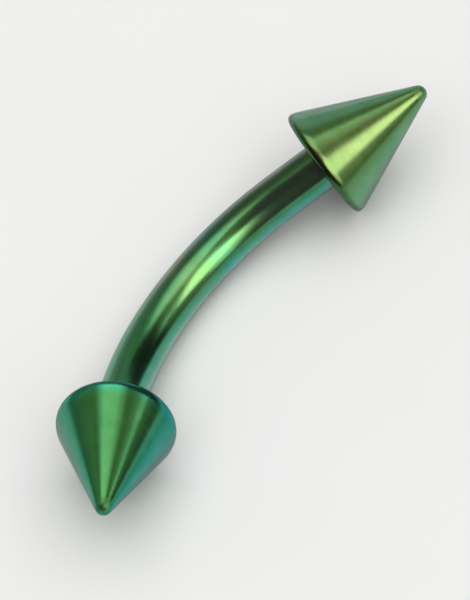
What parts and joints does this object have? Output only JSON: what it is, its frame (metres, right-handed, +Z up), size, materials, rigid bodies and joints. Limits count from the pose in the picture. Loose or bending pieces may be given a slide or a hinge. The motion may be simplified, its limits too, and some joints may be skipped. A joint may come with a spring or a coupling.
{
  "type": "curved eyebrow barbell",
  "caption": "Curved bar body jewel for an eyebrow piercing, a bent wire with a pointed screw-on cone at each end.",
  "frame": {"origin": "on the surface that the barbell lies on, under the middle of its box", "axes": "+X from the lower cone towards the upper cone, +Z up, and the bend's outside towards +Y"},
  "size_m": [0.014, 0.0036, 0.0029],
  "materials": {
    "green_titanium_bar": "titanium wire, drawn and polished, anodised green with a teal tint towards its edges",
    "green_titanium_cone": "titanium, turned and polished, anodised green with a yellow cast in its bright streaks"
  },
  "bodies": {
    "bar": {"curved_bar": "green_titanium_bar"},
    "lower_cone": {"lower_cone": "green_titanium_cone"},
    "upper_cone": {"upper_cone": "green_titanium_cone"}
  },
  "joints": [
    {"name": "lower_cone_unscrews", "type": "slide", "parent": "bar", "child": "lower_cone", "axis": [-0.7892, -0.5204, 0.326], "range_m": [0, 0.0017]},
    {"name": "upper_cone_unscrews", "type": "slide", "parent": "bar", "child": "upper_cone", "axis": [0.8779, -0.4029, 0.2589], "range_m": [0, 0.0017]}
  ]
}
